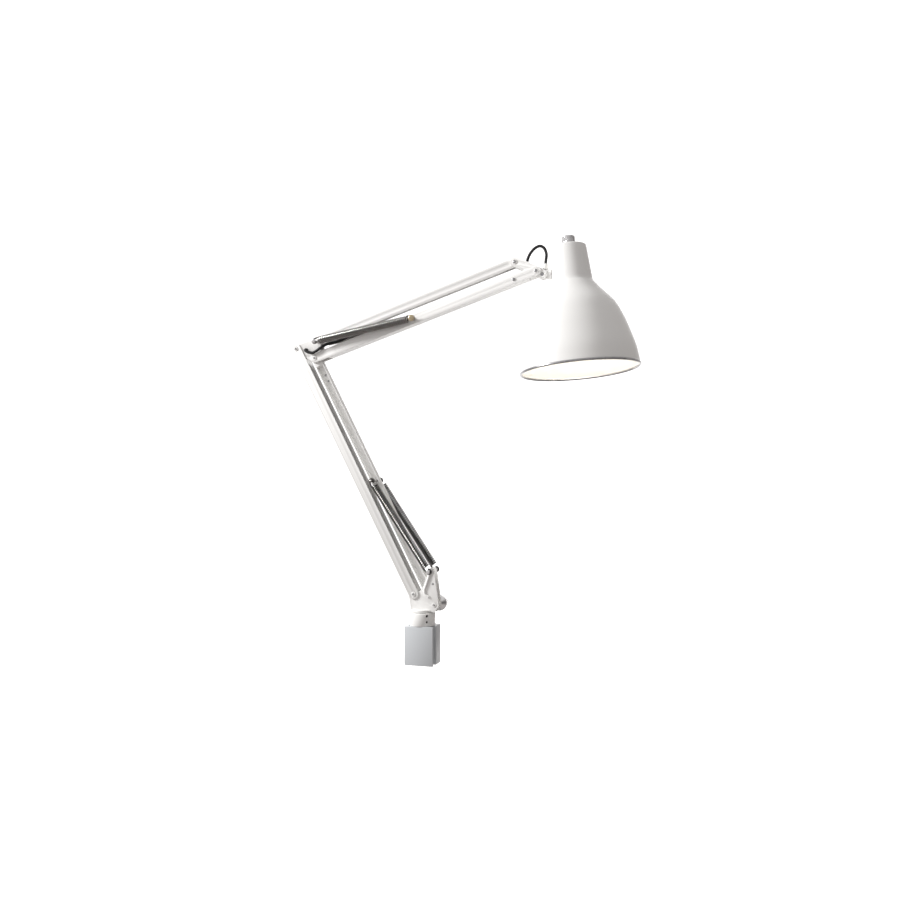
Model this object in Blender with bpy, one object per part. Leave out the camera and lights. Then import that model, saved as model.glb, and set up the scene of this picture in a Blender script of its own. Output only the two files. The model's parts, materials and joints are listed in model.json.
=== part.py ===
"""Spring-balanced swing arm lamp on a small mounting block.

Two parallelogram arms, each with a wide channel and a narrow bar, hang on a fork at the base,
a knuckle at the elbow and a head plate pair at the shade.  All lengths here are millimetres and
are turned into metres when a mesh is made.  +X points to the shade, +Z up, the arms lie in the
XZ plane, and the origin is the centre of the block's bottom face, on the swivel's axis.
"""
import bmesh
import bpy
import numpy as np
from math import cos, hypot, pi, radians, sin
from mathutils import Vector
from mathutils.geometry import convex_hull_2d, tessellate_polygon

MM = 0.001
GAP = 0.3

# Pivots, as (x, z) in the arm plane at rest
LINK = (33.0, -15.5)
BASE_REAR = (-11.7, 108.3)
ELBOW_REAR = (-212.5, 493.4)
HEAD_TOP = (148.9, 612.8)
TILT = (191.0, 592.0)
BASE_SPRING = (16.5, 145.0)
ELBOW_SPRING = (-175.7, 504.1)
LOWER_ANCHOR_AT = 214.0
UPPER_ANCHOR_AT = 177.4
STOP_SCREW_AT = 345.0
RIVETS_FROM_ELBOW = (30.0, 41.0)

# Layers across the arm, as distances from the arm plane
NARROW_HALF = 5.0
CHEEK = (5.3, 7.7)
WIDE = (8.0, 9.5)
LOWER_SPRING_Y = 18.0
UPPER_SPRING_Y = 17.0

LOWER_BAR_HALF = 8.0
LOWER_NARROW_HALF = 7.0
UPPER_BAR_HALF = 7.5
WALL = 1.5
PIN_R = 2.5
HOLE_R = PIN_R + GAP
CABLE_R = 2.2
SPRING_R = 6.25
SPRING_END = 13.0
WIRE_R = 0.9
EYE_R = 3.8

# Mounting block and swivel
BLOCK = (46.0, 38.0, 60.0)
COVER_THICK = 3.4
GROOVE_END_Y = -2.6
CORE_HALF = 17.0
COLLAR_R = 20.0
COLLAR_TOP = 80.0
BUSH_R = (8.2, 9.9)
SPIGOT_R = 7.9
FOOT_R = 17.0
FOOT_TOP = 84.5

# Shade: neck top centre, direction down its axis, and outer profile (distance down, radius)
NECK_TOP = Vector((229.4, 2.5, 632.9))
SHADE_DOWN = Vector((0.101, -0.061, -0.993)).normalized()
SHADE_LENGTH = 186.0
SHADE_WALL = 1.2
SHADE_PROFILE = ((2, 25.3), (54.8, 30.4), (69, 41.3), (90.8, 59.8), (113, 70.3), (136, 78),
                 (159.8, 84.6), (180.5, 87.3), (186, 87.5))
STUD_X = (204.3, 213.0)
LUG_END_X = 204.0


def plus(a, b):
    return (a[0] + b[0], a[1] + b[1])


BASE_FRONT = plus(BASE_REAR, LINK)
ELBOW_FRONT = plus(ELBOW_REAR, LINK)
HEAD_LOW = plus(HEAD_TOP, LINK)

MATERIALS = {
    "white_paint": ((0.86, 0.86, 0.85), 0.35, 0.0),
    "grey_paint": ((0.62, 0.64, 0.65), 0.45, 0.0),
    "chrome": ((0.75, 0.75, 0.76), 0.12, 1.0),
    "spring_steel": ((0.42, 0.41, 0.40), 0.25, 1.0),
    "steel": ((0.45, 0.45, 0.46), 0.35, 1.0),
    "black_rubber": ((0.02, 0.02, 0.02), 0.5, 0.0),
    "brass": ((0.70, 0.55, 0.32), 0.3, 1.0),
    "black_plastic": ((0.03, 0.03, 0.03), 0.4, 0.0),
    "bush_plastic": ((0.75, 0.74, 0.70), 0.5, 0.0),
    "bulb_glass": ((0.95, 0.94, 0.90), 0.2, 0.0),
}


def material(name):
    """One Principled material for each finish, made once."""
    found = bpy.data.materials.get(name)
    if found:
        return found
    colour, rough, metal = MATERIALS[name]
    made = bpy.data.materials.new(name)
    made.use_nodes = True
    shader = made.node_tree.nodes["Principled BSDF"]
    shader.inputs["Base Color"].default_value = (*colour, 1)
    shader.inputs["Roughness"].default_value = rough
    shader.inputs["Metallic"].default_value = metal
    return made


def solid(name, verts, faces, finish, origin=(0, 0, 0)):
    """A closed mesh object from points in millimetres, with its origin on its joint's axis."""
    origin = Vector(origin)
    mesh = bpy.data.meshes.new(name)
    mesh.from_pydata([(Vector(v) - origin) * MM for v in verts], [], faces)
    bm = bmesh.new()
    bm.from_mesh(mesh)
    bmesh.ops.recalc_face_normals(bm, faces=bm.faces)
    bm.to_mesh(mesh)
    bm.free()
    mesh.shade_smooth()
    mesh.set_sharp_from_angle(angle=radians(35))
    made = bpy.data.objects.new(name, mesh)
    made.location = origin * MM
    mesh.materials.append(material(finish))
    bpy.context.scene.collection.objects.link(made)
    return made


def circle(centre, r, steps=16, start=0.0, end=360.0):
    """Points of a circle or an arc in a plane, from start to end degrees."""
    closed = abs(end - start) >= 360
    count = steps if closed else steps + 1
    angles = [radians(start + (end - start) * i / steps) for i in range(count)]
    return [(centre[0] + r * cos(a), centre[1] + r * sin(a)) for a in angles]


def hull(*circles):
    """The outline that a band stretched round several circles takes."""
    points = [Vector(p) for c, r in circles for p in circle(c, r, 24)]
    return [tuple(points[i]) for i in convex_hull_2d(points)]


def prism(name, outline, y0, y1, finish, holes=(), origin=(0, 0)):
    """A plate: an XZ outline with round holes, carried from y0 to y1."""
    loops = [list(outline)] + [circle(c, r) for c, r in holes]
    flat = [p for loop in loops for p in loop]
    count = len(flat)
    ends = tessellate_polygon([[Vector((x, z, 0)) for x, z in loop] for loop in loops])
    verts = [(x, y0, z) for x, z in flat] + [(x, y1, z) for x, z in flat]
    faces = [tuple(t) for t in ends] + [tuple(i + count for i in t) for t in ends]
    first = 0
    for loop in loops:
        size = len(loop)
        for i in range(size):
            a, b = first + i, first + (i + 1) % size
            faces.append((a, b, b + count, a + count))
        first += size
    return solid(name, verts, faces, finish, (origin[0], 0, origin[1]))


def turned(name, profile, base, axis, finish, steps=24, ring=False, origin=None):
    """A turned piece.  The profile is (distance along the axis, radius); ring closes it on
    itself, as for a tube, and otherwise both its ends lie on the axis."""
    base, axis = Vector(base), Vector(axis).normalized()
    side = axis.orthogonal().normalized()
    other = axis.cross(side)
    verts, rows = [], []
    for along, r in profile:
        if r < 1e-6:
            rows.append([len(verts)] * steps)
            verts.append(base + axis * along)
            continue
        rows.append(list(range(len(verts), len(verts) + steps)))
        for k in range(steps):
            a = 2 * pi * k / steps
            verts.append(base + axis * along + (side * cos(a) + other * sin(a)) * r)
    faces = []
    pairs = list(zip(rows, rows[1:] + rows[:1])) if ring else list(zip(rows, rows[1:]))
    for low, high in pairs:
        for k in range(steps):
            j = (k + 1) % steps
            corners = [low[k], low[j], high[j], high[k]]
            kept = [c for i, c in enumerate(corners) if c != corners[i - 1]]
            if len(kept) > 2:
                faces.append(tuple(kept))
    return solid(name, verts, faces, finish, base if origin is None else origin)


def rod(name, centre, y0, y1, r, finish, steps=16):
    """A plain round bar across the arm."""
    length = y1 - y0
    profile = [(0, 0), (0, r), (length, r), (length, 0)]
    return turned(name, profile, (centre[0], y0, centre[1]), (0, 1, 0), finish, steps)


def pivot_pin(name, centre, outer, finish="steel"):
    """A shouldered pin with a low head on each side of what it holds."""
    head_r, head = 3.6, 1.4
    start, end = -outer - GAP, outer + GAP
    profile = [(start - head, 0), (start - head, head_r - 0.6), (start - head + 0.6, head_r),
               (start, head_r), (start, PIN_R), (end, PIN_R), (end, head_r),
               (end + head - 0.6, head_r), (end + head, head_r - 0.6), (end + head, 0)]
    return turned(name, profile, (centre[0], 0, centre[1]), (0, 1, 0), finish, 16)


def smooth_route(points, spacing):
    """Points about spacing apart on a Catmull-Rom curve through the given ones."""
    pts = [Vector(p) for p in points]
    pts = [pts[0] * 2 - pts[1]] + pts + [pts[-1] * 2 - pts[-2]]
    dense = []
    for a, b, c, d in zip(pts, pts[1:], pts[2:], pts[3:]):
        for t in np.linspace(0, 1, 24, endpoint=False):
            dense.append(0.5 * (2 * b + (c - a) * t + (2 * a - 5 * b + 4 * c - d) * t**2
                                + (3 * b - a - 3 * c + d) * t**3))
    dense.append(pts[-2])
    steps = [0.0]
    for a, b in zip(dense, dense[1:]):
        steps.append(steps[-1] + (b - a).length)
    wanted = np.linspace(0, steps[-1], max(4, round(steps[-1] / spacing)))
    return [Vector([np.interp(w, steps, [p[k] for p in dense]) for k in range(3)]) for w in wanted]


def cable(name, points, r=CABLE_R, finish="black_rubber", spacing=12.0):
    """A round flex as a bevelled curve with filled ends."""
    data = bpy.data.curves.new(name, "CURVE")
    data.dimensions = "3D"
    data.bevel_depth = r * MM
    data.bevel_resolution = 2
    data.use_fill_caps = True
    line = data.splines.new("POLY")
    route = smooth_route(points, spacing)
    line.points.add(len(route) - 1)
    for slot, p in zip(line.points, route):
        slot.co = (*(p * MM), 1)
    data.materials.append(material(finish))
    made = bpy.data.objects.new(name, data)
    bpy.context.scene.collection.objects.link(made)
    return made


def cut(target, cutter, operation="DIFFERENCE"):
    """Cuts target with cutter, or joins it on; the cutter is only a guide."""
    cutter.hide_render = True
    cutter.display_type = "WIRE"
    change = target.modifiers.new(operation.lower(), "BOOLEAN")
    change.object = cutter
    change.operation = operation
    change.solver = "EXACT"


class Bar:
    """A straight bar between two pivots: s runs along it, u across it in the arm plane."""

    def __init__(self, start, end):
        self.start, self.end = start, end
        self.length = hypot(end[0] - start[0], end[1] - start[1])
        self.along = ((end[0] - start[0]) / self.length, (end[1] - start[1]) / self.length)

    def at(self, s, u=0.0):
        ax, az = self.along
        return (self.start[0] + ax * s - az * u, self.start[1] + az * s + ax * u)

    def outline(self, half):
        return hull((self.start, half), (self.end, half))

    def box(self, spans):
        return [self.at(s, u) for s, u in spans]


LOWER_REAR = Bar(BASE_REAR, ELBOW_REAR)
LOWER_FRONT = Bar(BASE_FRONT, ELBOW_FRONT)
UPPER_TOP = Bar(ELBOW_REAR, HEAD_TOP)
UPPER_LOW = Bar(ELBOW_FRONT, HEAD_LOW)
LOWER_ANCHOR = LOWER_FRONT.at(LOWER_ANCHOR_AT)
UPPER_ANCHOR = UPPER_LOW.at(UPPER_ANCHOR_AT)


def channel(name, bar, half, outer, inner, web_side, web_span):
    """A channel with a wall on each side of the arm plane and a web along one edge."""
    made = prism(name, bar.outline(half), -outer, outer, "white_paint",
                 [(bar.start, HOLE_R), (bar.end, HOLE_R)], bar.start)
    far, edge = 25.0, web_side * (half - WALL)
    out = web_side * far
    s0, s1 = web_span
    hollow = bar.box([(-far, -out), (-far, out), (s0, out), (s0, edge), (s1, edge), (s1, out),
                      (bar.length + far, out), (bar.length + far, -out)])
    cut(made, prism(name + "_hollow", hollow, -inner, inner, "white_paint"))
    return made


def mounting_block():
    """Block body with a narrower core, and the cover plate in front of its shadow groove."""
    hx, hy, top = BLOCK[0] / 2, BLOCK[1] / 2, BLOCK[2]
    core_front = -hy + COVER_THICK + GAP
    section = [(-hx, hy), (-hx, GROOVE_END_Y), (-CORE_HALF, GROOVE_END_Y), (-CORE_HALF, core_front),
               (CORE_HALF, core_front), (CORE_HALF, GROOVE_END_Y), (hx, GROOVE_END_Y), (hx, hy)]
    count = len(section)
    verts = [(x, y, 0) for x, y in section] + [(x, y, top) for x, y in section]
    faces = [(i, (i + 1) % count, (i + 1) % count + count, i + count) for i in range(count)]
    faces += [tuple(range(count)), tuple(range(count, 2 * count))]
    solid("block_body", verts, faces, "grey_paint")
    plate = [(-hx, 0), (hx, 0), (hx, top), (-hx, top)]
    cover = prism("block_cover", plate, -hy, -hy + COVER_THICK, "grey_paint")
    soften = cover.modifiers.new("edge", "BEVEL")
    soften.width = 0.6 * MM
    soften.segments = 2
    soften.limit_method = "ANGLE"


def collar_and_swivel():
    """The clamping collar with two grub screws, its bush and the spigot that turns in it."""
    low = BLOCK[2] + GAP
    height = COLLAR_TOP - low
    bore = BUSH_R[1] + GAP
    ring = [(0, bore), (0, COLLAR_R), (height - 0.8, COLLAR_R), (height, COLLAR_R - 0.8), (height, bore)]
    collar = turned("collar", ring, (0, 0, low), (0, 0, 1), "white_paint", 48, ring=True)
    out = Vector((sin(radians(40)), -cos(radians(40)), 0))
    for name, z, r in (("grub_screw_upper", 76.2, 2.1), ("grub_screw_lower", 67.0, 1.8)):
        centre = Vector((0, 0, z))
        hole = turned(name + "_hole", [(11.6, 0), (11.6, r), (25, r), (25, 0)], centre, out,
                      "steel", 12)
        cut(collar, hole)
        turned(name, [(12.0, 0), (12.0, r - GAP), (17.5, r - GAP), (17.5, 0)], centre, out,
               "black_plastic", 12)
    turned("swivel_bush", [(0, BUSH_R[0]), (0, BUSH_R[1]), (height - 0.3, BUSH_R[1]),
                           (height - 0.3, BUSH_R[0])], (0, 0, low), (0, 0, 1), "bush_plastic", 24,
           ring=True)
    reach = COLLAR_TOP - low - 1.0
    turned("swivel_spigot", [(0, 0), (0, SPIGOT_R), (reach, SPIGOT_R), (reach, 0)],
           (0, 0, low + 1.0 + 0.1), (0, 0, 1), "steel", 24)


def base_fork():
    """The cast fork: a round foot and two cheeks with lugs for both bars and a spring horn."""
    outline = [(-16, 81.5), (22, 81.5)]
    outline += circle(BASE_FRONT, 7.4, 6, -55, 8)
    outline += circle(BASE_SPRING, 4.6, 8, 5, 205)
    outline += [(3.0, 119.0), (-1.5, 113.5)]
    outline += circle(BASE_REAR, 8.6, 8, 25, 185)
    holes = [(BASE_REAR, HOLE_R), (BASE_FRONT, HOLE_R)]
    foot_low = COLLAR_TOP + 0.4
    casting = turned("base_fork", [(0, 0), (0, FOOT_R - 1), (1, FOOT_R), (FOOT_TOP - foot_low, FOOT_R),
                                   (FOOT_TOP - foot_low, 0)], (0, 0, foot_low), (0, 0, 1),
                     "white_paint", 32)
    for side, name in ((-1, "near"), (1, "far")):
        y0, y1 = sorted(side * y for y in CHEEK)
        cheek = prism("fork_cheek_" + name, outline, y0, y1, "white_paint", holes)
        cut(casting, cheek, "UNION")
        stud("base_spring_stud_" + name, BASE_SPRING, side, CHEEK[1], LOWER_SPRING_Y)
    pivot_pin("base_rear_pin", BASE_REAR, WIDE[1])
    pivot_pin("base_front_pin", BASE_FRONT, CHEEK[1])


def stud(name, centre, side, face, spring_y, head_r=3.2, finish="chrome"):
    """A stud that stands out from one cheek or wall and carries a spring's eye."""
    start, end = face + GAP, spring_y + 4.0
    profile = [(start, 0), (start, 2.0), (end, 2.0), (end, head_r), (end + 1.6, head_r),
               (end + 2.0, head_r - 0.6), (end + 2.0, 0)]
    return turned(name, profile, (centre[0], 0, centre[1]), (0, side, 0), finish, 16)


def friction_knob():
    """The hand knob behind the fork that tightens the front bar's pivot."""
    start = CHEEK[1] + GAP + 1.4 + GAP
    profile = [(start, 0), (start, 3.9), (14.0, 3.9), (14.6, 9.5), (17.0, 12.5), (29.0, 12.5),
               (30.6, 10.8), (31.0, 4.0), (30.2, 3.2), (30.2, 0)]
    turned("friction_knob", profile, (BASE_FRONT[0], 0, BASE_FRONT[1]), (0, 1, 0), "chrome", 32)


def lower_arm():
    """The rear channel with its flex inside, and the narrow front bar with its pocket."""
    bar = LOWER_REAR
    channel("lower_rear_bar", bar, LOWER_BAR_HALF, WIDE[1], WIDE[0], 1, (13.0, bar.length - 15.0))
    run = [bar.at(s, 3.6) for s in (26.0, 120.0, 230.0, 330.0, bar.length - 24.0)]
    cable("cable_lower", [(x, 0, z) for x, z in run])
    bar = LOWER_FRONT
    made = prism("lower_front_bar", bar.outline(LOWER_NARROW_HALF), -NARROW_HALF, NARROW_HALF,
                 "white_paint", [(bar.start, HOLE_R), (bar.end, HOLE_R), (LOWER_ANCHOR, 2.3)],
                 bar.start)
    lip, end = LOWER_NARROW_HALF - 1.4, 14.0
    pocket = bar.box([(end, -lip), (bar.length - end, -lip), (bar.length - end, lip), (end, lip)])
    cut(made, prism("pocket", pocket, -25, NARROW_HALF - 1.6, "white_paint"))
    for k, back in enumerate(RIVETS_FROM_ELBOW):
        centre = bar.at(bar.length - back)
        top = NARROW_HALF - 1.6 - GAP
        rod(f"bar_rivet_{k + 1}", centre, top - 1.2, top, 1.6, "steel", 12)
    reach = LOWER_SPRING_Y + 5.0
    rod("lower_spring_crossbar", LOWER_ANCHOR, -reach, reach, 2.0, "spring_steel")


def elbow():
    """The knuckle: two cheeks that keep the four bars' pivots apart and carry the upper springs."""
    outline = hull((ELBOW_REAR, 8.0), (ELBOW_FRONT, 8.0), (ELBOW_SPRING, 6.5))
    holes = [(ELBOW_REAR, HOLE_R), (ELBOW_FRONT, HOLE_R)]
    for side, name in ((-1, "near"), (1, "far")):
        y0, y1 = sorted(side * y for y in CHEEK)
        prism("knuckle_cheek_" + name, outline, y0, y1, "white_paint", holes, ELBOW_REAR)
        stud("knuckle_spring_stud_" + name, ELBOW_SPRING, side, CHEEK[1], UPPER_SPRING_Y)
    pivot_pin("elbow_rear_pin", ELBOW_REAR, WIDE[1])
    pivot_pin("elbow_front_pin", ELBOW_FRONT, WIDE[1])
    grommet = (-195.0, 490.8)
    outside = -CHEEK[1] - GAP
    turned("elbow_grommet", [(0, 0), (0, 3.2), (1.4, 2.8), (1.4, 0)],
           (grommet[0], outside, grommet[1]), (0, -1, 0), "black_rubber", 16)
    route = [(-195.4, -12.0, 491.2), (-193.8, -12.7, 490.0), (-189.5, -13.0, 487.2), (-182, -13.0, 486),
             (-175, -12.8, 488.6), (-168, -12.2, 493.3), (-158, -9.8, 499), (-149, -7.0, 501.6),
             (-139, -3.6, 504.4), (-128, -0.8, 510.0), (-118, 0, 516.0), (-108, 0, 521.6)]
    cable("cable_elbow", route, spacing=5.0)


def upper_arm():
    """The narrow top bar with the flex in it, and the wide lower bar with the spring anchors."""
    bar = UPPER_TOP
    channel("upper_top_bar", bar, UPPER_BAR_HALF, NARROW_HALF, NARROW_HALF - WALL, 1,
            (-20.0, bar.length + 20.0))
    start = 113.5
    run = [bar.at(s, u) for s, u in ((start, -2.6), (150, -0.6), (220, 0), (300, -0.6), (345, -3.2),
                                     (bar.length - 14.0, -5.0))]
    cable("cable_upper", [(x, 0, z) for x, z in run])
    bar = UPPER_LOW
    channel("upper_low_bar", bar, UPPER_BAR_HALF, WIDE[1], WIDE[0], -1, (23.0, bar.length - 14.0))
    for side, name in ((-1, "near"), (1, "far")):
        stud("spring_anchor_screw_" + name, UPPER_ANCHOR, side, WIDE[1], UPPER_SPRING_Y, 5.0, "brass")
    centre = bar.at(STOP_SCREW_AT)
    rod("stop_screw", centre, -WIDE[1] - GAP - 1.2, -WIDE[1] - GAP, 2.6, "steel", 12)


def head():
    """Two head plates, their pins, and the flex that loops over to the shade."""
    outline = hull((HEAD_TOP, 7.5), (HEAD_LOW, 7.5), (TILT, 7.0))
    holes = [(HEAD_TOP, HOLE_R), (HEAD_LOW, HOLE_R), (TILT, HOLE_R)]
    for side, name in ((-1, "near"), (1, "far")):
        y0, y1 = sorted(side * y for y in CHEEK)
        prism("head_plate_" + name, outline, y0, y1, "white_paint", holes, HEAD_TOP)
    pivot_pin("head_top_pin", HEAD_TOP, CHEEK[1])
    pivot_pin("head_low_pin", HEAD_LOW, WIDE[1])
    rod("tilt_pin", TILT, -CHEEK[1], CHEEK[1], PIN_R, "steel")
    start = UPPER_TOP.at(UPPER_TOP.length - 12.0, -5.1)
    under = UPPER_TOP.at(UPPER_TOP.length + 1.0, -5.4)
    route = [start, under, (159.5, 607.0), (165.4, 611.4), (167.6, 618.0), (171.5, 625.6),
             (178.0, 632.4), (186, 635.4), (192.6, 631.6), (195.8, 622.8), (195.2, 615.0),
             (194.5, 608.8)]
    cable("cable_head_loop", [(x, 0, z) for x, z in route], spacing=5.0)


def shade_holder():
    """The lug that tilts between the head plates, its stud and nut, and the flex's entry boss."""
    outline = circle(TILT, 6.0, 10, 90, 270) + [(LUG_END_X, 584.0), (LUG_END_X, 599.5)]
    prism("shade_lug", outline, -NARROW_HALF, NARROW_HALF, "white_paint", [(TILT, HOLE_R)], TILT)
    centre = (0, 0, TILT[1])
    turned("shade_stud", [(STUD_X[0], 0), (STUD_X[0], 4.0), (STUD_X[1], 4.0), (STUD_X[1], 0)],
           centre, (1, 0, 0), "steel", 16)
    turned("stud_nut", [(207.6, 5.0), (207.6, 7.5), (211.2, 7.5), (211.2, 5.0)], centre,
           (1, 0, 0), "steel", 6, ring=True)
    turned("flex_entry_boss", [(0, 0), (0, 4.6), (6.8, 4.6), (8.6, 3.4), (8.6, 0)],
           (194.5, 0, 599.8), (0, 0, 1), "white_paint", 20)


def shade_radius(along):
    """The shade's outer radius at a distance down its axis, on a smooth curve."""
    pts = [Vector((t, r, 0)) for t, r in SHADE_PROFILE[1:]]
    if along <= SHADE_PROFILE[1][0]:
        (t0, r0), (t1, r1) = SHADE_PROFILE[:2]
        return r0 + (r1 - r0) * (along - t0) / (t1 - t0)
    route = smooth_route(pts, 3.0)
    return float(np.interp(along, [p[0] for p in route], [p[1] for p in route]))


def shade():
    """The spun bell on its neck, with the stud's hole, and what it holds inside."""
    stops = [2, 54.8, 60, 69, 80, 92, 108, 126, 146, 168, 186]
    outer = [(t, shade_radius(t)) for t in stops]
    inner = [(t, r - SHADE_WALL) for t, r in reversed(outer)]
    profile = [(0, 7.0), (0, 23.2), (0.6, 24.6)] + outer
    profile += [(SHADE_LENGTH, outer[-1][1] - SHADE_WALL)] + inner[1:-1] + [(1.4, 23.6), (1.4, 7.0)]
    shell = turned("shade", profile, NECK_TOP, SHADE_DOWN, "white_paint", 40, ring=True)
    cut(shell, turned("stud_hole", [(198, 0), (198, 4.3), (212, 4.3), (212, 0)], (0, 0, TILT[1]),
                      (1, 0, 0), "white_paint", 16))
    body = [(1.8, 0), (1.8, 11.0), (20, 11.0), (20, 8.0), (23, 8.0), (23, 0)]
    turned("switch_body", [(t, r) for t, r in body], NECK_TOP, SHADE_DOWN, "black_plastic", 24)
    holder = [(24, 0), (24, 12.0), (30, 17.0), (62, 18.0), (62, 0)]
    turned("lampholder", holder, NECK_TOP, SHADE_DOWN, "black_plastic", 24)
    glass = [(62.4, 0), (62.4, 13.0), (74, 14.0), (86, 19.5), (100, 26.6), (114, 30.0), (128, 28.0),
             (140, 20.0), (146, 10.0), (147.6, 0)]
    turned("bulb", glass, NECK_TOP, SHADE_DOWN, "bulb_glass", 24)
    knob = [(-0.5, 0), (-0.5, 9.2), (-1.4, 9.75), (-13.2, 9.75), (-14.6, 8.6), (-15.8, 4.6), (-16.2, 0)]
    turned("switch_knob", knob, NECK_TOP, SHADE_DOWN, "chrome", 32)


def spring(name, start, end, y, root_name, tip_name):
    """A tension spring: its coil with the root eye, and the hook at its moving end."""
    begin, finish = Vector((start[0], y, start[1])), Vector((end[0], y, end[1]))
    length = (finish - begin).length
    along = (finish - begin).normalized()
    coil = [(SPRING_END, 0), (SPRING_END, SPRING_R), (length - SPRING_END, SPRING_R),
            (length - SPRING_END, 0)]
    turned(name, coil, begin, along, "spring_steel", 12)
    across = along.cross(Vector((0, 1, 0)))
    for node, centre, sign in ((root_name, begin, 1), (tip_name, finish, -1)):
        turn = [radians(a) for a in np.linspace(-335, -90, 11)]
        wire = [(EYE_R * cos(a), EYE_R * sin(a)) for a in turn]
        wire += [(4.0, -3.1), (8.0, -1.2), (SPRING_END - GAP, 0.0)]
        cable(node, [centre + along * (sign * s) + across * u for s, u in wire], WIRE_R,
              "spring_steel", 3.0)


def springs():
    for side, name in ((-1, "near"), (1, "far")):
        spring("lower_spring_" + name, BASE_SPRING, LOWER_ANCHOR, side * LOWER_SPRING_Y,
               "lower_spring_eye_" + name, "lower_spring_hook_" + name)
        spring("upper_spring_" + name, ELBOW_SPRING, UPPER_ANCHOR, side * UPPER_SPRING_Y,
               "upper_spring_eye_" + name, "upper_spring_hook_" + name)


def main():
    for old in list(bpy.data.objects):
        bpy.data.objects.remove(old)
    mounting_block()
    collar_and_swivel()
    base_fork()
    friction_knob()
    lower_arm()
    elbow()
    upper_arm()
    head()
    shade_holder()
    shade()
    springs()


main()
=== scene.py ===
"""Looks of the spring-balanced swing arm lamp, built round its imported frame.

Every new piece is a surface of two parameters worked out with numpy, or a CAD node's own shape
with its edges rounded.  Lengths are metres in the frame's own axes: +X to the shade, +Z up, the
arms in the XZ plane.
"""
import json

import bmesh
import bpy
import numpy as np
from bpy.props import FloatProperty, FloatVectorProperty, IntProperty, PointerProperty
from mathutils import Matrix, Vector


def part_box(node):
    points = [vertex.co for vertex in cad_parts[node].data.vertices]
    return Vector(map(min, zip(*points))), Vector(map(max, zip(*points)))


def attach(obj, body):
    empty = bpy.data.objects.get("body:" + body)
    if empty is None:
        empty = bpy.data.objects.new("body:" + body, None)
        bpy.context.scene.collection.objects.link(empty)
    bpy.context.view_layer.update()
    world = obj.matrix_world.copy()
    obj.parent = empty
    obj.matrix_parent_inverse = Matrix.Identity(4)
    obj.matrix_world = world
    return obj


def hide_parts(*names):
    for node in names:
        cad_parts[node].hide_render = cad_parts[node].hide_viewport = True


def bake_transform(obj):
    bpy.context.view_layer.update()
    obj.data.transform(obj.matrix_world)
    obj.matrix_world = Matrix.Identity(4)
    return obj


bl_info = {
    "name": "Swing arm lamp",
    "version": (1, 0, 0),
    "blender": (4, 5, 0),
    "location": "3D View > Sidebar > Lamp",
    "description": "Makes the finished surfaces of a spring-balanced swing arm lamp",
    "category": "Add Mesh",
}

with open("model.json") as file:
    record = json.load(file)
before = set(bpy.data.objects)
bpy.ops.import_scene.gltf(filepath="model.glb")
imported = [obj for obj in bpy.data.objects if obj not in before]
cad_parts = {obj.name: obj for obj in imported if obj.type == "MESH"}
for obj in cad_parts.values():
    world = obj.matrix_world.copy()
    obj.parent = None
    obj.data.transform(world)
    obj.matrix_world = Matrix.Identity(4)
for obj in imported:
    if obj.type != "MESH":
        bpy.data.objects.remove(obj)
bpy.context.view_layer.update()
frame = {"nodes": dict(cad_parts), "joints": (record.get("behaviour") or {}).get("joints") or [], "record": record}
MM = 0.001
TAU = 2 * np.pi
WELD = 1e-7          # new points closer than this are one
CAD_WELD = 2e-6      # and so are a CAD node's
CREASE = np.radians(38)
ACROSS = np.array([0.0, 1.0, 0.0])
JOINTS = {joint["name"]: joint for joint in frame["joints"]}
BODY_OF = {n: b for b, members in frame["record"]["behaviour"]["bodies"].items() for n in members}
SLOT_OF = {part["node"]: part["material_slot"] for part in frame["record"]["subparts"]}


def pivot(joint):
    """A joint's point in the frame."""
    return np.array(JOINTS[joint]["pos_m"], float)


def direction(joint):
    """A joint's axis as a unit vector."""
    axis = np.array(JOINTS[joint]["axis"], float)
    return axis / np.linalg.norm(axis)


def box(node):
    """The lowest and highest corners of a CAD node's box."""
    low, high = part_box(node)
    return np.array(low), np.array(high)


def middle(node):
    """The centre of a CAD node's box."""
    low, high = box(node)
    return (low + high) / 2


# ---------------------------------------------------------------------------------------------
# Sizes and colours


class LampSizes(bpy.types.PropertyGroup):
    """Sizes of the pieces' fine detail"""

    edge: FloatProperty(name="Edge radius", description="Rounding of the bars' and plates' edges",
                        default=0.45 * MM, unit="LENGTH", precision=5)
    block_edge: FloatProperty(name="Block edge", description="Rounding of the block's edges",
                              default=0.7 * MM, unit="LENGTH", precision=5)
    wall: FloatProperty(name="Shade wall", description="Thickness of the spun shade",
                        default=1.2 * MM, unit="LENGTH", precision=5)
    bead: FloatProperty(name="Rim bead", description="Radius of the bead rolled round the mouth",
                        default=1.9 * MM, unit="LENGTH", precision=5)
    wire: FloatProperty(name="Spring wire", description="Radius of the springs' wire",
                        default=1.42 * MM, unit="LENGTH", precision=5)
    coil: FloatProperty(name="Coil radius", description="Outside radius of the springs' coils",
                        default=6.2 * MM, unit="LENGTH", precision=5)
    turns: IntProperty(name="Turns", description="Turns in each spring's coil", default=46)
    lead: FloatProperty(name="Spring lead", description="From a stud's axis to its spring's first turn",
                        default=8.0 * MM, unit="LENGTH", precision=5)
    flex: FloatProperty(name="Flex radius", description="Radius of the round flex",
                        default=2.2 * MM, unit="LENGTH", precision=5)
    flutes: IntProperty(name="Knob flutes", description="Flutes round the friction knob", default=28)


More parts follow.
